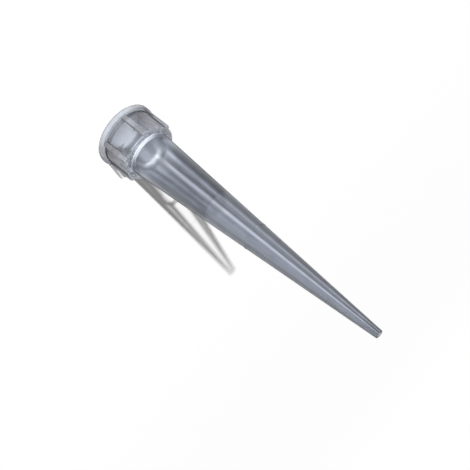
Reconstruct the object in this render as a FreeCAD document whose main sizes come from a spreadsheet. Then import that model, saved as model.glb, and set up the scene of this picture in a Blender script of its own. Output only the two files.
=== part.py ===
"""A 10 microlitre pipette tip, moulded in one piece of clear plastic.

The tip stands on the rim of its mouth. The mouth lies on z = 0 with its centre at the origin, and the
axis of the tip runs up +Z to the narrow end. All sizes are in millimetres.
"""

import FreeCAD, Part

import os

import Sketcher

NODE = "pipette_tip"

# The driving dimensions. Each is written once, here, and goes into the sheet under its name.
SIZES = {
    # Outside
    "total_length": 32.0,
    "rim_overhang": 0.32,
    "rim_height": 0.7,
    "rim_rounding": 0.28,
    "rim_under_rounding": 0.06,
    "collar_height": 3.7,
    "collar_chamfer": 0.05,
    "panel_diameter": 5.76,
    "rib_height": 0.22,
    "rib_width": 0.52,
    "rib_rounding": 0.06,
    "rib_root": 0.2,
    "rib_count": 6,
    "body_diameter": 4.5,
    "body_root_rounding": 0.08,
    "end_diameter": 0.8,
    "end_rounding": 0.05,
    "ring_height": 17.5,
    "ring_bead_radius": 0.06,
    "ring_proud": 0.03,
    # Bore, from the mouth inwards
    "mouth_diameter": 5.0,
    "mouth_rounding": 0.12,
    "mouth_length": 0.32,
    "mouth_end_diameter": 4.9,
    "lead_in_length": 0.5,
    "seat_diameter": 3.9,
    "seat_length": 1.38,
    "land_diameter": 3.5,
    "land_length": 1.15,
    "bead_rise": 0.12,
    "bead_crest_diameter": 3.24,
    "bead_fall": 0.25,
    "neck_diameter": 3.4,
    "neck_length": 4.28,
    "neck_end_diameter": 2.9,
    "neck_ledge": 0.05,
    "chamber_length": 4.1,
    "chamber_end_diameter": 2.64,
    "throat_length": 1.1,
    "throat_diameter": 1.9,
    "orifice_diameter": 0.44,
}

ON_EDGE, START, END, CENTRE = range(4)  # where on a line or an arc a constraint holds
H_AXIS = -START  # the sketch's horizontal axis
SKETCH_ORIGIN = (H_AXIS, START)  # the start of the horizontal axis is the sketch's own origin
SAME_PLACE = 1e-4  # how near an edge lies to the place it is looked for


def size(name):
    """The expression for one driving dimension."""
    return f"sizes.{name}"


def radius(name):
    """The expression for half of one driving diameter."""
    return f"sizes.{name} / 2"


def total(*names):
    """The expression for driving dimensions laid end to end."""
    return " + ".join(size(name) for name in names)


def beyond_panels(name):
    """The expression for a radius that stands out from the collar's panels by one driving dimension."""
    return radius("panel_diameter") + " + " + size(name)


def out_from_panels(name):
    """The radius, as a number, that stands out from the collar's panels by one driving dimension."""
    return SIZES["panel_diameter"] / 2 + SIZES[name]


def fill_sheet(doc):
    """Put each driving dimension in a cell of its own, under its name."""
    sheet = doc.addObject("Spreadsheet::Sheet", "sizes")
    for row, (name, value) in enumerate(SIZES.items(), start=1):
        sheet.set(f"A{row}", name)
        sheet.set(f"B{row}", str(value))
        sheet.setAlias(f"B{row}", name)
    doc.recompute()


def origin_feature(body, role):
    """The plane or axis of the body's own origin with this role."""
    return next(f for f in body.Origin.OriginFeatures if f.Role == role)


def new_sketch(body, name, plane):
    """An empty sketch on one of the body's origin planes."""
    sketch = body.newObject("Sketcher::SketchObject", name)
    sketch.AttachmentSupport = [(origin_feature(body, plane), "")]
    sketch.MapMode = "FlatFace"
    return sketch


def constrain(sketch, expression, kind, *places):
    """A dimension of the sketch that follows an expression."""
    index = sketch.addConstraint(Sketcher.Constraint(kind, *places, 1.0))
    sketch.setExpression(f"Constraints[{index}]", expression)


def closed_outline(sketch, corners):
    """A closed outline of straight lines through corners, each a pair of expressions for its radius
    and its height. A height of None lies on the horizontal axis."""
    count = len(corners)
    rough = [FreeCAD.Vector(1 + i % 2, i, 0) for i in range(count)]
    for i in range(count):
        sketch.addGeometry(Part.LineSegment(rough[i], rough[(i + 1) % count]))
    for i in range(count):
        sketch.addConstraint(Sketcher.Constraint("Coincident", i, END, (i + 1) % count, START))
    for i, (across, up) in enumerate(corners):
        constrain(sketch, across, "DistanceX", *SKETCH_ORIGIN, i, START)
        if up is None:
            sketch.addConstraint(Sketcher.Constraint("PointOnObject", i, START, H_AXIS))
        else:
            constrain(sketch, up, "DistanceY", *SKETCH_ORIGIN, i, START)


def wall(body):
    """The whole wall turned about the axis: rim, collar, body and the stepped bore with its stop bead."""
    stages = [
        "mouth_length",
        "lead_in_length",
        "seat_length",
        "land_length",
        "bead_rise",
        "bead_fall",
        "neck_length",
        "chamber_length",
        "throat_length",
    ]
    depths = [total(*stages[: i + 1]) for i in range(len(stages))]
    mouth_end, lead_in_end, seat_end, land_end, bead_crest, bead_end = depths[:6]
    neck_end, chamber_end, throat_end = depths[6:]
    sketch = new_sketch(body, "wall_section", "XZ_Plane")
    closed_outline(
        sketch,
        [
            (radius("mouth_diameter"), None),
            (beyond_panels("rim_overhang"), None),
            (beyond_panels("rim_overhang"), size("rim_height")),
            (radius("panel_diameter"), size("rim_height")),
            (radius("panel_diameter"), size("collar_height")),
            (radius("body_diameter"), size("collar_height")),
            (radius("end_diameter"), size("total_length")),
            (radius("orifice_diameter"), size("total_length")),
            (radius("throat_diameter"), throat_end),
            (radius("chamber_end_diameter"), chamber_end),
            (radius("neck_end_diameter") + " - " + size("neck_ledge"), neck_end),
            (radius("neck_end_diameter"), neck_end),
            (radius("neck_diameter"), bead_end),
            (radius("bead_crest_diameter"), bead_crest),
            (radius("land_diameter"), land_end),
            (radius("land_diameter"), seat_end),
            (radius("seat_diameter"), lead_in_end),
            (radius("mouth_end_diameter"), mouth_end),
        ],
    )
    turned = body.newObject("PartDesign::Revolution", "wall")
    turned.Profile = sketch
    turned.ReferenceAxis = (sketch, ["V_Axis"])
    turned.Angle = 360
    return turned


def ribs(body):
    """Lengthwise ribs round the collar, from under the rim to the collar's end face."""
    half_width = SIZES["rib_width"] / 2
    root = SIZES["panel_diameter"] / 2 - SIZES["rib_root"]
    top = out_from_panels("rib_height")
    shoulder = (top**2 - half_width**2) ** 0.5
    low_root, high_root = FreeCAD.Vector(root, -half_width), FreeCAD.Vector(root, half_width)
    low_crest, high_crest = FreeCAD.Vector(shoulder, -half_width), FreeCAD.Vector(shoulder, half_width)
    sketch = new_sketch(body, "rib_section", "XY_Plane")
    sketch.setExpression("AttachmentOffset.Base.z", size("rim_height"))
    foot = sketch.addGeometry(Part.LineSegment(low_root, high_root))
    far_side = sketch.addGeometry(Part.LineSegment(high_root, high_crest))
    crest = sketch.addGeometry(Part.Arc(low_crest, FreeCAD.Vector(top, 0), high_crest))
    near_side = sketch.addGeometry(Part.LineSegment(low_crest, low_root))
    for first, second in (
        ((foot, END), (far_side, START)),
        ((far_side, END), (crest, END)),
        ((crest, START), (near_side, START)),
        ((near_side, END), (foot, START)),
        ((crest, CENTRE), SKETCH_ORIGIN),
    ):
        sketch.addConstraint(Sketcher.Constraint("Coincident", *first, *second))
    sketch.addConstraint(Sketcher.Constraint("Horizontal", far_side))
    sketch.addConstraint(Sketcher.Constraint("Horizontal", near_side))
    sketch.addConstraint(Sketcher.Constraint("Symmetric", foot, START, foot, END, H_AXIS))
    foot_radius = radius("panel_diameter") + " - " + size("rib_root")
    constrain(sketch, foot_radius, "DistanceX", *SKETCH_ORIGIN, foot, START)
    constrain(sketch, size("rib_width"), "DistanceY", foot, START, foot, END)
    constrain(sketch, beyond_panels("rib_height"), "Radius", crest)
    rib = body.newObject("PartDesign::Pad", "rib")
    rib.Profile = sketch
    rib.setExpression("Length", size("collar_height") + " - " + size("rim_height"))
    ring = body.newObject("PartDesign::PolarPattern", "ribs")
    ring.Originals = [rib]
    ring.Axis = (origin_feature(body, "Z_Axis"), [""])
    ring.Angle = 360
    ring.setExpression("Occurrences", size("rib_count"))
    body.Tip = ring
    return ring


def volume_ring(body):
    """The raised hairline round the body that marks the tip's volume."""
    slope = "(sizes.body_diameter - sizes.end_diameter) / 2 / (sizes.total_length - sizes.collar_height)"
    body_radius = radius("body_diameter") + f" - {slope} * (sizes.ring_height - sizes.collar_height)"
    bead = body.newObject("PartDesign::AdditiveTorus", "volume_ring")
    bead.AttachmentSupport = [(origin_feature(body, "XY_Plane"), "")]
    bead.MapMode = "FlatFace"
    bead.setExpression("AttachmentOffset.Base.z", size("ring_height"))
    bead.setExpression("Radius1", f"{body_radius} - sizes.ring_bead_radius + sizes.ring_proud")
    bead.setExpression("Radius2", size("ring_bead_radius"))
    return bead


def circles(shape, out, height):
    """The names of the edges that lie on the circle of this radius round the axis at this height."""
    found = []
    for number, edge in enumerate(shape.Edges, start=1):
        if not isinstance(edge.Curve, Part.Circle):
            continue
        middle = edge.Curve.Center
        off = abs(edge.Curve.Radius - out) + abs(middle.z - height) + abs(middle.x) + abs(middle.y)
        if off < SAME_PLACE:
            found.append(f"Edge{number}")
    return found


def rib_crests(shape):
    """The names of the lengthwise edges where the ribs' sides meet their crests."""
    top = out_from_panels("rib_height")
    found = []
    for number, edge in enumerate(shape.Edges, start=1):
        start = edge.Vertexes[0].Point
        end = edge.Vertexes[-1].Point
        upright = abs(start.x - end.x) + abs(start.y - end.y) < SAME_PLACE < abs(start.z - end.z)
        out = (start.x**2 + start.y**2) ** 0.5
        if upright and abs(out - top) < SAME_PLACE:
            found.append(f"Edge{number}")
    return found


def collar_end(shape):
    """The names of the edges where the collar's end face meets its panels and ribs."""
    height = SIZES["collar_height"]
    inside = SIZES["panel_diameter"] / 2 - SAME_PLACE
    found = []
    for number, edge in enumerate(shape.Edges, start=1):
        points = [edge.valueAt(edge.FirstParameter), edge.valueAt(edge.LastParameter)]
        if all(abs(p.z - height) < SAME_PLACE and p.x**2 + p.y**2 > inside**2 for p in points):
            found.append(f"Edge{number}")
    return found


def fillet(doc, body, rounding, edge_names, base):
    """Round these edges of the base by the driving dimension that names the rounding."""
    feature = body.newObject("PartDesign::Fillet", rounding)
    feature.Base = (base, edge_names)
    feature.setExpression("Radius", size(rounding))
    doc.recompute()
    return feature


def chamfer(doc, body, bevel, edge_names, base):
    """Bevel these edges of the base by the driving dimension that names the bevel."""
    feature = body.newObject("PartDesign::Chamfer", bevel)
    feature.Base = (base, edge_names)
    feature.setExpression("Size", size(bevel))
    doc.recompute()
    return feature


def rounded_wall(doc, body, base):
    """The wall's moulded roundings, one feature for each rounding's size."""
    rim = out_from_panels("rim_overhang")
    for rounding, out, height in (
        ("rim_rounding", rim, 0.0),
        ("mouth_rounding", SIZES["mouth_diameter"] / 2, 0.0),
        ("rim_under_rounding", rim, SIZES["rim_height"]),
        ("body_root_rounding", SIZES["body_diameter"] / 2, SIZES["collar_height"]),
        ("end_rounding", SIZES["end_diameter"] / 2, SIZES["total_length"]),
    ):
        edges = circles(base.Shape, out, height)
        base = fillet(doc, body, rounding, edges, base)
    return base


def pipette_tip(doc):
    """The whole tip as one body."""
    body = doc.addObject("PartDesign::Body", NODE)
    body.Label = NODE
    turned = wall(body)
    doc.recompute()
    rounded_wall(doc, body, turned)
    patterned = ribs(body)
    doc.recompute()
    rounded = fillet(doc, body, "rib_rounding", rib_crests(patterned.Shape), patterned)
    chamfer(doc, body, "collar_chamfer", collar_end(rounded.Shape), rounded)
    body.Tip = volume_ring(body)
    body.Placement = FreeCAD.Placement()
    doc.recompute()
    return body


def check(doc, piece):
    """Stop unless every object has been worked out and the piece is one valid solid."""
    failed = [o.Label for o in doc.Objects if {"Invalid", "Error"} & set(o.State)]
    if failed:
        raise RuntimeError(f"not worked out: {', '.join(failed)}")
    if piece.Shape.isNull() or not piece.Shape.isValid() or len(piece.Shape.Solids) != 1:
        raise RuntimeError(f"{piece.Label} is not one valid solid")


def main():
    doc = FreeCAD.newDocument("pipette_tip_model")
    fill_sheet(doc)
    piece = pipette_tip(doc)
    check(doc, piece)
    os.makedirs("parts", exist_ok=True)
    piece.Shape.exportStep(f"parts/{piece.Label}.step")
    print(f"{piece.Label}: {piece.Shape.Volume:.2f} mm3")


main()
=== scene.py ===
"""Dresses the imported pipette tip: clear, faintly cloudy moulded plastic on a plain white floor.

Everything is in metres, in the CAD model's frame: the mouth stands on z = 0, the axis runs up +Z.
"""

import math

import bpy
from mathutils import Matrix, Vector


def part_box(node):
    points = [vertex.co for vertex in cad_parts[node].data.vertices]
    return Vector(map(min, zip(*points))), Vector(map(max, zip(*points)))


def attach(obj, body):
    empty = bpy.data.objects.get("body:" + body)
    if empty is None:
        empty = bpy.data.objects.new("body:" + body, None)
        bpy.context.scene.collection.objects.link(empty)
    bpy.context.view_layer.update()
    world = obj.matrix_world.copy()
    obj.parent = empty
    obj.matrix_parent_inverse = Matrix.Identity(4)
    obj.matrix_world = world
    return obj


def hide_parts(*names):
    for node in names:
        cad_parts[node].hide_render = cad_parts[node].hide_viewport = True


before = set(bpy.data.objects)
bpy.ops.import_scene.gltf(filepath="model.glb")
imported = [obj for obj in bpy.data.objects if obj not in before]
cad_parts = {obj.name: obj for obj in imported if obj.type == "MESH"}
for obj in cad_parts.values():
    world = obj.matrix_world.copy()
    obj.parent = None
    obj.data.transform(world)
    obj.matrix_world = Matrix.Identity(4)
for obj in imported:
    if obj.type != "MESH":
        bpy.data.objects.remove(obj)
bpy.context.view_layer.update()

MM = 0.001
NODE = "pipette_tip"
foot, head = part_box(NODE)
LENGTH = head.z
RIM_RADIUS = head.x

# Sizes of the moulded form, in metres
RIM_HEIGHT = 0.7 * MM
RIM_ROUNDING = 0.28 * MM
RIM_UNDER_ROUNDING = 0.06 * MM
COLLAR_HEIGHT = 3.7 * MM
COLLAR_BEVEL = 0.05 * MM
PANEL_RADIUS = 2.88 * MM
RIB_CIRCLE = 3.1 * MM
RIB_HALF_WIDTH = 0.26 * MM
RIB_ROUNDING = 0.06 * MM
RIB_COUNT = 6
BODY_RADIUS = 2.25 * MM
BODY_ROOT_ROUNDING = 0.08 * MM
END_RADIUS = 0.4 * MM
END_ROUNDING = 0.05 * MM
RING_HEIGHT = 17.5 * MM
RING_PROUD = 0.03 * MM
RING_HALF_WIDTH = 0.09 * MM
ORIFICE_RADIUS = 0.22 * MM
MOUTH_RADIUS = 2.5 * MM
MOUTH_ROUNDING = 0.12 * MM
# The bore's steps, from the mouth inwards: height and radius
BORE = [
    (0.32 * MM, 2.45 * MM),
    (0.82 * MM, 1.95 * MM),
    (2.2 * MM, 1.75 * MM),
    (3.35 * MM, 1.75 * MM),
    (3.47 * MM, 1.62 * MM),
    (3.72 * MM, 1.7 * MM),
    (8.0 * MM, 1.45 * MM),
    (8.0 * MM, 1.4 * MM),
    (12.1 * MM, 1.32 * MM),
    (13.2 * MM, 0.95 * MM),
]
SLOPE = (BODY_RADIUS - END_RADIUS) / (LENGTH - COLLAR_HEIGHT)

# How finely the mesh follows the form
BODY_STEPS = 24
RING_STEPS = 6
COLLAR_STEPS = 6
RIM_STEPS = 8
PANEL_STEPS = 24
CROWN_STEPS = 3
BORE_STEP = 0.8 * MM
# A bore wall longer than this has a row close to each kink, which keeps its shading straight
BORE_KEPT_STRAIGHT = 0.2 * MM
BORE_BY_KINK = 0.04 * MM
SHARP_ANGLE = math.radians(32)


def spaced(start, end, count):
    """Evenly spaced values from start to end, both included."""
    return [start + (end - start) * i / count for i in range(count + 1)]


def body_radius(z):
    """The outer radius of the tapered body at this height."""
    return BODY_RADIUS - SLOPE * (z - COLLAR_HEIGHT)


def rounded_corner(corner, before, after, radius, steps=5):
    """Points of an arc of this radius in place of a corner between two neighbours, in a plane."""
    c, a, b = Vector(corner), Vector(before), Vector(after)
    to_a, to_b = (a - c).normalized(), (b - c).normalized()
    half = to_a.angle(to_b) / 2
    middle = c + (to_a + to_b).normalized() * (radius / math.sin(half))
    start, end = (c + side * (radius / math.tan(half)) for side in (to_a, to_b))
    points = []
    for share in spaced(0, 1, steps):
        towards = (start - middle).lerp(end - middle, share).normalized()
        points.append(tuple(middle + towards * radius))
    return points


def outside():
    """The outer section as (radius, height) from the narrow end down to the collar's end face."""
    ring = (body_radius(RING_HEIGHT), RING_HEIGHT)
    rows = rounded_corner((END_RADIUS, LENGTH), (ORIFICE_RADIUS, LENGTH), ring, END_ROUNDING)
    above = spaced(rows[-1][1], RING_HEIGHT + RING_HALF_WIDTH, BODY_STEPS)[1:]
    rows += [(body_radius(z), z) for z in above]
    for turn in spaced(0, math.pi, RING_STEPS)[1:-1]:
        z = RING_HEIGHT + RING_HALF_WIDTH * math.cos(turn)
        rows.append((body_radius(z) + RING_PROUD * math.sin(turn), z))
    root_corner, panel = (BODY_RADIUS, COLLAR_HEIGHT), (PANEL_RADIUS, COLLAR_HEIGHT)
    root = rounded_corner(root_corner, ring, panel, BODY_ROOT_ROUNDING)
    below = spaced(RING_HEIGHT - RING_HALF_WIDTH, root[0][1], BODY_STEPS)[:-1]
    return rows + [(body_radius(z), z) for z in below] + root


def rim():
    """The rim's section as (radius, height) from under it, over its edge and into the mouth."""
    under_corner, over_corner = (RIM_RADIUS, RIM_HEIGHT), (RIM_RADIUS, 0)
    lip_corner, lip_end = (MOUTH_RADIUS, 0), (BORE[0][1], BORE[0][0])
    under = rounded_corner(under_corner, (RIB_CIRCLE, RIM_HEIGHT), over_corner, RIM_UNDER_ROUNDING)
    over = rounded_corner(over_corner, under_corner, lip_corner, RIM_ROUNDING, RIM_STEPS)
    return under + over + rounded_corner(lip_corner, over_corner, lip_end, MOUTH_ROUNDING)


def bore():
    """The bore's section as (radius, height) from the mouth up to the orifice."""
    rows = []
    for (z0, r0), (z1, r1) in zip(BORE, BORE[1:] + [(LENGTH, ORIFICE_RADIUS)]):
        shares = [0.0, 1.0]
        if z1 - z0 > BORE_KEPT_STRAIGHT:
            by_kink = BORE_BY_KINK / (z1 - z0)
            count = max(1, round((z1 - z0) / BORE_STEP))
            shares = [0.0] + spaced(by_kink, 1 - by_kink, count) + [1.0]
        rows += [(r0 + (r1 - r0) * s, z0 + (z1 - z0) * s) for s in shares[:-1]]
    return rows + [(ORIFICE_RADIUS, LENGTH)]


def profile():
    """The closed section as (radius, height, ribbed); a ribbed radius is added to the outline's."""
    collar = [(-COLLAR_BEVEL, COLLAR_HEIGHT)]
    collar += [(0, z) for z in spaced(COLLAR_HEIGHT - COLLAR_BEVEL, RIM_HEIGHT, COLLAR_STEPS)]
    parts = [(outside(), False), (collar, True), (rim(), False), (bore(), False)]
    return [(r, z, ribbed) for rows, ribbed in parts for r, z in rows]


def rib_outline():
    """One sixth of the collar's outline as (x, y): half a rib, a panel, and half the next rib."""
    pitch = 2 * math.pi / RIB_COUNT
    root = math.asin(RIB_HALF_WIDTH / PANEL_RADIUS)
    crest = RIB_CIRCLE * math.cos(math.asin(RIB_HALF_WIDTH / RIB_CIRCLE))
    corner, side = (crest, RIB_HALF_WIDTH), (PANEL_RADIUS, RIB_HALF_WIDTH)
    edge = rounded_corner(corner, (RIB_CIRCLE, 0), side, RIB_ROUNDING, 3)
    first = math.atan2(edge[0][1], edge[0][0])
    crown = [on_circle(RIB_CIRCLE, a) for a in spaced(0, first, CROWN_STEPS)[:-1]]
    half_rib = crown + edge
    panel = [on_circle(PANEL_RADIUS, a) for a in spaced(root, pitch - root, PANEL_STEPS)]
    turn = Matrix.Rotation(pitch, 2)
    other_half = [tuple(turn @ Vector((x, -y))) for x, y in reversed(half_rib[1:])]
    return half_rib + panel + other_half


def on_circle(radius, angle):
    """The point of a circle round the axis at this angle, as (x, y)."""
    return (radius * math.cos(angle), radius * math.sin(angle))


def tip_mesh():
    """The tip as one closed mesh: a ring of points for each row of the section."""
    sector = rib_outline()
    pitch = 2 * math.pi / RIB_COUNT
    outline = [Matrix.Rotation(pitch * k, 2) @ Vector(p) for k in range(RIB_COUNT) for p in sector]
    angles = [math.atan2(p.y, p.x) for p in outline]
    rows = profile()
    verts = []
    for r, z, ribbed in rows:
        if ribbed:
            verts += [(*(p * (1 + r / p.length)), z) for p in outline]
        else:
            verts += [(*on_circle(r, a), z) for a in angles]
    n, m = len(outline), len(rows)
    faces = []
    for i in range(m):
        row, next_row = i * n, (i + 1) % m * n
        for k in range(n):
            k_next = (k + 1) % n
            faces.append((row + k, next_row + k, next_row + k_next, row + k_next))
    mesh = bpy.data.meshes.new("tip_visual")
    mesh.from_pydata(verts, [], faces)
    mesh.validate()
    mesh.shade_smooth()
    mesh.set_sharp_from_angle(angle=SHARP_ANGLE)
    return mesh


tip = bpy.data.objects.new("tip_body", tip_mesh())
bpy.context.scene.collection.objects.link(tip)
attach(tip, "root")
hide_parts(NODE)


def wire(tree, kind, sockets, **settings):
    """A node of this kind with its settings, and its inputs set to values or linked."""
    made = tree.nodes.new(kind)
    for name, value in settings.items():
        setattr(made, name, value)
    for socket, value in sockets.items():
        if isinstance(value, bpy.types.NodeSocket):
            tree.links.new(value, made.inputs[socket])
        else:
            made.inputs[socket].default_value = value
    return made


def math_node(tree, operation, *values):
    """The output of a Math node on numbers or sockets."""
    return wire(tree, "ShaderNodeMath", dict(enumerate(values)), operation=operation).outputs[0]


def mapped(tree, value, start, end, low=0, high=1):
    """A value from start to end mapped to low to high, held at both ends."""
    ends = {"Value": value, "From Min": start, "From Max": end, "To Min": low, "To Max": high}
    return wire(tree, "ShaderNodeMapRange", ends).outputs[0]


def ramp(tree, value, stops, hue):
    """A colour by a value, from (place, level) pairs; hue turns a level into a colour."""
    first, last = stops[0][0], stops[-1][0]
    made = wire(tree, "ShaderNodeValToRGB", {"Fac": mapped(tree, value, first, last)})
    marks = made.color_ramp.elements
    marks[0].position, marks[1].position = 0, 1
    for place, level in stops[1:-1]:
        marks.new((place - first) / (last - first)).color = hue(level)
    marks[0].color, marks[len(marks) - 1].color = hue(stops[0][1]), hue(stops[-1][1])
    return made.outputs["Color"]


def mixed(tree, share, under, over, blend="MIX"):
    """One colour over another by a share, or multiplied."""
    made = wire(tree, "ShaderNodeMix", {}, data_type="RGBA", blend_type=blend)
    for socket, value in zip(("Factor_Float", "A_Color", "B_Color"), (share, under, over)):
        slot = next(s for s in made.inputs if s.identifier == socket)
        if isinstance(value, bpy.types.NodeSocket):
            tree.links.new(value, slot)
        else:
            slot.default_value = value
    return next(s for s in made.outputs if s.identifier == "Result_Color")


def vector_node(tree, operation, first, second=None, third=None, output=0):
    """The output of a Vector Math node on vectors or sockets."""
    given = {i: v for i, v in enumerate((first, second, third)) if v is not None}
    return wire(tree, "ShaderNodeVectorMath", given, operation=operation).outputs[output]


def noise(tree, point, scale):
    """Soft noise from 0 to 1 at this scale."""
    given = {"Vector": point, "Scale": scale, "Detail": NOISE_DETAIL}
    return wire(tree, "ShaderNodeTexNoise", given).outputs["Fac"]


def mixed_shader(tree, share, under, over):
    """One shader over another by a share."""
    return wire(tree, "ShaderNodeMixShader", {0: share, 1: under, 2: over}).outputs[0]


def grey(level):
    """A neutral grey of this level."""
    return (level, level, level, 1)


def cool(level):
    """A grey tint of this level, a little blue."""
    return (level * 0.955, level, min(1, level * 1.12), 1)


def deepened(level):
    """How much of each colour this much plastic lets through: the blue most."""
    return (level ** 1.08, level, level ** 0.9, 1)


def seen_directly(tree):
    """1 for rays from the camera, mirrored by gloss or bent by plastic, 0 for soft light."""
    rays = tree.nodes.new("ShaderNodeLightPath").outputs
    bent = math_node(tree, "MAXIMUM", rays["Is Glossy Ray"], rays["Is Transmission Ray"])
    return math_node(tree, "MAXIMUM", rays["Is Camera Ray"], bent)


# Levels by height in mm: the tint of the outer wall and of the bore's, and how milky each is
# The outer tint's dip just above the rim, down to 0.08, is painted shade under the rim; its dip at
# 12.75 mm is painted shade at the bore's step
TINT_AND_SHADE = [
    (0, 0.42), (0.64, 0.42), (0.7, 0.08), (1.0, 0.1), (1.5, 0.17), (2.2, 0.32), (2.9, 0.36),
    (3.4, 0.3), (3.55, 0.6), (3.8, 0.85), (4.2, 0.9), (5.3, 0.8), (6.2, 0.45), (7.4, 0.34),
    (11.4, 0.33), (12.75, 0.22), (12.85, 0.41), (32, 0.32),
]
BORE_TINT = [(0, 0.75), (3.3, 0.75), (3.4, 1.0), (3.7, 1.0), (5.3, 1.0), (6.5, 0.75), (32, 0.75)]
MILK = [(0, 0.24), (0.66, 0.24), (0.74, 0.045), (3.5, 0.045), (4.2, 0), (32, 0)]
BORE_MILK = [
    (0, 0.2), (0.32, 0.2), (0.5, 0.045), (3.25, 0.045), (3.35, 1.0), (3.75, 1.0), (3.82, 0),
    (32, 0),
]
# How the outer wall's tint deepens from square on, 0, to edge-on, 1: partly the longer path through
# the plastic, and the dark band near the edges is painted shade
DEPTH_WITH_EDGE_SHADE = [
    (0, 1.0), (0.15, 0.95), (0.24, 0.6), (0.34, 0.2), (0.5, 0.15), (0.66, 0.3), (0.8, 0.6),
    (0.92, 0.3), (1.0, 0.1),
]
COLLAR_DEPTH_WITH_EDGE_SHADE = [(0, 1.0), (0.3, 1.0), (0.5, 0.75), (0.75, 0.65), (1.0, 0.1)]
# Painted streaks in the body's wall by degrees from the near side: bands that run its length, the
# lighter ones painted highlights and the darker ones painted shade
PAINTED_STREAKS = [
    (-180, 1.0), (-150, 1.25), (-128, 0.8), (-106, 1.3), (-84, 0.85), (-60, 0.65), (-42, 0.65),
    (-37, 1.6), (-32, 3.2), (-27.5, 1.2), (-24, 0.5), (-13, 0.5), (-9.5, 1.4), (-5, 3.2), (-1, 2.2),
    (3, 1.2), (8, 0.9), (15, 0.95), (19, 1.3), (27, 0.85), (45, 1.3), (70, 1.25), (90, 0.9),
    (112, 1.3), (130, 0.85), (152, 1.15), (180, 1.0),
]
# Where one finish gives way to the next up the tip, as heights in mm
COLLAR_DEPTH_ENDS = (3.5, 3.9)
# From these heights up, the body carries the painted streaks of highlight and shade
PAINTED_STREAKS_FROM = (5.2, 7.2)
HAZE_STARTS = (3.6, 4.2)
COLLAR_SHADE_ENDS = (3.3, 3.8)
CRESTS_START = (0.7, 0.8)
# Distances from the axis that part the bore's wall from the outer one, once the taper is taken out
WALL_RADII = (2.25 * MM, 2.4 * MM)
# Distances from the axis that part the panels from the ribs' crests
CREST_RADII = (2.98 * MM, 3.06 * MM)
CREST_MILK = 0.11

# How the plastic takes the light
REFRACTION = 1.49
ROUGHNESS = (0.1, 0.14)
HAZE_ROUGHNESS = 0.3
HAZE_SHARE = 0.27
MILK_COLOUR = (0.82, 0.83, 0.85, 1)
# The painted outline: a dark colour mixed in where the surface is seen edge-on
PAINTED_OUTLINE_COLOUR = (0.1, 0.11, 0.13, 1)
OUTLINE_FROM, OUTLINE_FULL, OUTLINE_SHARE = 0.68, 0.84, 0.9
COLLAR_SHADE = (0.92, 0.94, 0.96, 1)
SHADE_FROM, SHADE_FULL, LIGHT_PASSED = 0.3, 0.6, 0.98
WHITE = (1, 1, 1, 1)

# The fine lines and clouds in the plastic, and the ripple of its surface
LINES_SCALE = 8
LINES_DRAWN_OUT = 8
CLOUDS_SCALE = 900
NOISE_DETAIL = 1.5
NOISE_RANGE = (0.3, 0.7)
STIR = (0.85, 1.15)
RIPPLE_STRENGTH = 0.03
RIPPLE_DEPTH = 0.01 * MM

# The near side: between two ribs, by the angle from +X
BEARING = math.radians(22)


class Place:
    """Where a point of the tip lies, as sockets, and how it is turned to the eye."""

    def __init__(self, tree):
        self.point = tree.nodes.new("ShaderNodeTexCoord").outputs["Object"]
        self.height = wire(tree, "ShaderNodeSeparateXYZ", {0: self.point}).outputs[2]
        self.height_mm = math_node(tree, "DIVIDE", self.height, MM)
        self.across = vector_node(tree, "MULTIPLY", self.point, (1, 1, 0))
        self.radius = vector_node(tree, "LENGTH", self.across, output="Value")
        level_radius = math_node(tree, "MULTIPLY_ADD", self.height, SLOPE, self.radius)
        self.outer = mapped(tree, level_radius, *WALL_RADII)
        self.facing = wire(tree, "ShaderNodeLayerWeight", {"Blend": 0.5}).outputs["Facing"]
        leaving = tree.nodes.new("ShaderNodeNewGeometry").outputs["Backfacing"]
        entering = math_node(tree, "SUBTRACT", 1, leaving)
        self.edge_on = math_node(tree, "MULTIPLY", self.facing, entering)


def painted_streaks(tree, place):
    """The painted highlights and painted shade in bands along the body, by the angle from the near
    side.
    """
    settings = {0: place.point, "Angle": -BEARING}
    turned = wire(tree, "ShaderNodeVectorRotate", settings, rotation_type="Z_AXIS").outputs[0]
    x, y, _ = wire(tree, "ShaderNodeSeparateXYZ", {0: turned}).outputs
    angle = math_node(tree, "MULTIPLY", math_node(tree, "ARCTAN2", y, x), 180 / math.pi)
    on_body = mapped(tree, place.height_mm, *PAINTED_STREAKS_FROM)
    return mixed(tree, on_body, WHITE, ramp(tree, angle, PAINTED_STREAKS, grey))


def wall_tint_with_painted_light(tree, place):
    """The tint of the walls by height, deeper seen edge-on with painted edge shade, times the
    painted streaks.
    """
    # Painted shade: towards the edges the tint darkens in bands, standing in for darker
    # surroundings
    depths = [ramp(tree, place.edge_on, stops, deepened) for stops in (COLLAR_DEPTH_WITH_EDGE_SHADE, DEPTH_WITH_EDGE_SHADE)]
    shaded_depth = mixed(tree, mapped(tree, place.height_mm, *COLLAR_DEPTH_ENDS), *depths)
    shell = mixed(tree, 1.0, ramp(tree, place.height_mm, TINT_AND_SHADE, cool), shaded_depth, "MULTIPLY")
    walls = mixed(tree, place.outer, ramp(tree, place.height_mm, BORE_TINT, cool), shell)
    # Multiplied in: the painted highlights and painted shade of the streaks along the body
    return mixed(tree, 1.0, walls, painted_streaks(tree, place), "MULTIPLY")


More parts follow.
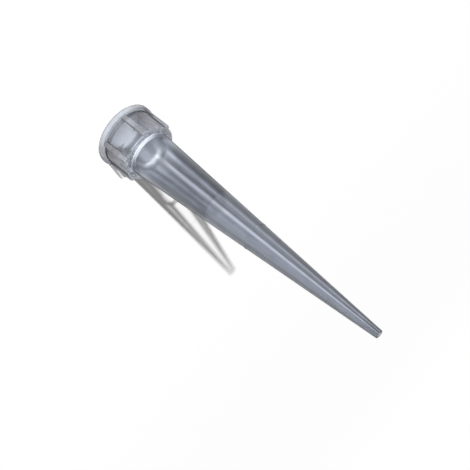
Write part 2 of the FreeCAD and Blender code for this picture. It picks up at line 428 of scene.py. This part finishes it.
def clear_plastic():
    """Clear plastic: cool tint with painted streaks, painted edge shade and clouds, a faint ripple,
    and a milky collar.
    """
    material = bpy.data.materials.new("clear_plastic")
    material.use_nodes = True
    nt = material.node_tree
    shader = nt.nodes["Principled BSDF"]
    place = Place(nt)

    # Fine lines lie along the tip: they follow the direction from the axis more than the height
    outwards = vector_node(nt, "NORMALIZE", place.across)
    drawn = vector_node(nt, "MULTIPLY_ADD", place.point, (0, 0, LINES_DRAWN_OUT), outwards)
    lines, clouds = noise(nt, drawn, LINES_SCALE), noise(nt, place.point, CLOUDS_SCALE)
    both = math_node(nt, "ADD", lines, clouds)
    stir = mapped(nt, both, *(2 * end for end in NOISE_RANGE), *STIR)
    settings = {0: wall_tint_with_painted_light(nt, place), "Scale": stir}
    stirred = wire(nt, "ShaderNodeVectorMath", settings, operation="SCALE").outputs[0]
    colour = vector_node(nt, "MINIMUM", stirred, (1, 1, 1))
    nt.links.new(colour, shader.inputs["Base Color"])
    nt.links.new(mapped(nt, clouds, *NOISE_RANGE, *ROUGHNESS), shader.inputs["Roughness"])
    settings = {"Strength": RIPPLE_STRENGTH, "Distance": RIPPLE_DEPTH, "Height": lines}
    nt.links.new(wire(nt, "ShaderNodeBump", settings).outputs[0], shader.inputs["Normal"])
    shader.inputs["Transmission Weight"].default_value = 1.0
    shader.inputs["IOR"].default_value = REFRACTION

    # The rim, the collar and the ribs are milky, and the bead that stops the cone is frosted
    milks = [ramp(nt, place.height_mm, stops, grey) for stops in (BORE_MILK, MILK)]
    above_rim = mapped(nt, place.height_mm, *CRESTS_START)
    on_crest = mapped(nt, place.radius, *CREST_RADII, 0, CREST_MILK)
    crest = math_node(nt, "MULTIPLY", above_rim, on_crest)
    milky = mixed(nt, crest, mixed(nt, place.outer, *milks), WHITE)
    milk = wire(nt, "ShaderNodeBsdfDiffuse", {"Color": MILK_COLOUR}).outputs[0]
    moulded = mixed_shader(nt, milky, shader.outputs[0], milk)

    # The haze of the body's wall: part of the light is spread wider on its way through
    haze = wire(nt, "ShaderNodeBsdfPrincipled", {
        "Base Color": colour,
        "Roughness": HAZE_ROUGHNESS,
        "IOR": REFRACTION,
        "Transmission Weight": 1.0,
    }).outputs[0]
    hazy = mapped(nt, place.height_mm, *HAZE_STARTS, 0, HAZE_SHARE)
    moulded = mixed_shader(nt, hazy, moulded, haze)

    # Painted shade: seen edge-on, a dark surface is mixed in, which paints the dark outline of
    # clear plastic
    painted_outline = wire(nt, "ShaderNodeBsdfDiffuse", {"Color": PAINTED_OUTLINE_COLOUR}).outputs[0]
    outline = mapped(nt, place.edge_on, OUTLINE_FROM, OUTLINE_FULL, 0, OUTLINE_SHARE)
    moulded = mixed_shader(nt, outline, moulded, painted_outline)

    # Light that meets the surface squarely passes straight through, so the edges cast the shadow
    shadow = nt.nodes.new("ShaderNodeLightPath").outputs["Is Shadow Ray"]
    squarely = mapped(nt, place.facing, SHADE_FROM, SHADE_FULL, LIGHT_PASSED, 0)
    passed = math_node(nt, "MULTIPLY", squarely, shadow)
    let_in = mixed(nt, mapped(nt, place.height_mm, *COLLAR_SHADE_ENDS), COLLAR_SHADE, WHITE)
    clear = wire(nt, "ShaderNodeBsdfTransparent", {"Color": let_in}).outputs[0]
    cast = mixed_shader(nt, passed, moulded, clear)
    nt.links.new(cast, nt.nodes["Material Output"].inputs["Surface"])
    return material


# The floor: half its side, its paint, its glow where seen directly, and where it fades to white
FLOOR_HALF = 0.35
FLOOR_PAINT = (0.95, 0.95, 0.95, 1)
FLOOR_ROUGHNESS = 0.9
FLOOR_GLOW = 0.15
FAR_FLOOR = (0.05, 0.15)


def floor_white():
    """Plain white floor, lifted a little where seen directly, and white as the world far off."""
    material = bpy.data.materials.new("floor_white")
    material.use_nodes = True
    nt = material.node_tree
    paint = nt.nodes["Principled BSDF"]
    paint.inputs["Base Color"].default_value = FLOOR_PAINT
    paint.inputs["Roughness"].default_value = FLOOR_ROUGHNESS
    paint.inputs["Specular IOR Level"].default_value = 0.0
    seen = seen_directly(nt)
    lift = math_node(nt, "MULTIPLY", seen, FLOOR_GLOW)
    glow = wire(nt, "ShaderNodeEmission", {"Strength": lift}).outputs[0]
    lifted = wire(nt, "ShaderNodeAddShader", {0: paint.outputs[0], 1: glow}).outputs[0]
    point = nt.nodes.new("ShaderNodeTexCoord").outputs["Object"]
    distance = vector_node(nt, "LENGTH", point, output="Value")
    far = math_node(nt, "MULTIPLY", seen, mapped(nt, distance, *FAR_FLOOR))
    white = wire(nt, "ShaderNodeEmission", {"Strength": 1.0}).outputs[0]
    surface = mixed_shader(nt, far, lifted, white)
    nt.links.new(surface, nt.nodes["Material Output"].inputs["Surface"])
    return material


tip.data.materials.append(clear_plastic())

corners = [(x * FLOOR_HALF, y * FLOOR_HALF, 0) for x, y in ((-1, -1), (1, -1), (1, 1), (-1, 1))]
floor_mesh = bpy.data.meshes.new("floor")
floor_mesh.from_pydata(corners, [], [(0, 1, 2, 3)])
floor_mesh.materials.append(floor_white())
floor = bpy.data.objects.new("floor", floor_mesh)
bpy.context.scene.collection.objects.link(floor)

# The world: plain and even on the surfaces, and white where it is seen, mirrored or bent
WORLD_FILL = (0.08, 0.08, 0.082, 1)
world = bpy.data.worlds.new("studio")
world.use_nodes = True
nt = world.node_tree
shown = mixed(nt, seen_directly(nt), WORLD_FILL, WHITE)
nt.links.new(shown, nt.nodes["Background"].inputs["Color"])
bpy.context.scene.world = world

# The lamp: a small square far off on the near side, which plastic neither mirrors nor shows
LAMP_BEARING, LAMP_ELEVATION = BEARING - math.radians(7), math.radians(40)
LAMP_DISTANCE = 3
LAMP_SIZE = 0.035
LAMP_POWER = 116
LAMP_AIM = Vector((0, 0, 0.01))
light = bpy.data.lights.new("key", "AREA")
light.shape = "SQUARE"
light.size = LAMP_SIZE
light.energy = LAMP_POWER
key = bpy.data.objects.new("key", light)
ground = on_circle(LAMP_DISTANCE * math.cos(LAMP_ELEVATION), LAMP_BEARING)
key.location = (*ground, LAMP_DISTANCE * math.sin(LAMP_ELEVATION))
key.rotation_euler = (LAMP_AIM - key.location).to_track_quat("-Z", "Y").to_euler()
key.visible_glossy = key.visible_transmission = False
bpy.context.scene.collection.objects.link(key)

# The camera: off the near side, looking down at the tip, and rolled so that it lies slanted
CAMERA_DISTANCE = 97.5 * MM
CAMERA_HEIGHT = 63.3 * MM
CAMERA_ASIDE = 1.0 * MM
AIM_HEIGHT = 15.86 * MM
LENS = 93.6
NEAR_CLIP = 0.005
ROLL = math.radians(128.55)
near = Vector((math.cos(BEARING), math.sin(BEARING), 0))
aside = Vector((-math.sin(BEARING), math.cos(BEARING), 0)) * CAMERA_ASIDE
camera_data = bpy.data.cameras.new("camera")
camera_data.lens = LENS
camera_data.clip_start = NEAR_CLIP
camera = bpy.data.objects.new("camera", camera_data)
camera.location = near * CAMERA_DISTANCE + aside + Vector((0, 0, CAMERA_HEIGHT))
aim = aside + Vector((0, 0, AIM_HEIGHT))
level = (aim - camera.location).normalized().to_track_quat("-Z", "Y")
camera.rotation_mode = "QUATERNION"
camera.rotation_quaternion = level @ Matrix.Rotation(ROLL, 3, "Z").to_quaternion()
bpy.context.scene.collection.objects.link(camera)
bpy.context.scene.camera = camera

bpy.context.scene.view_settings.view_transform = "Standard"
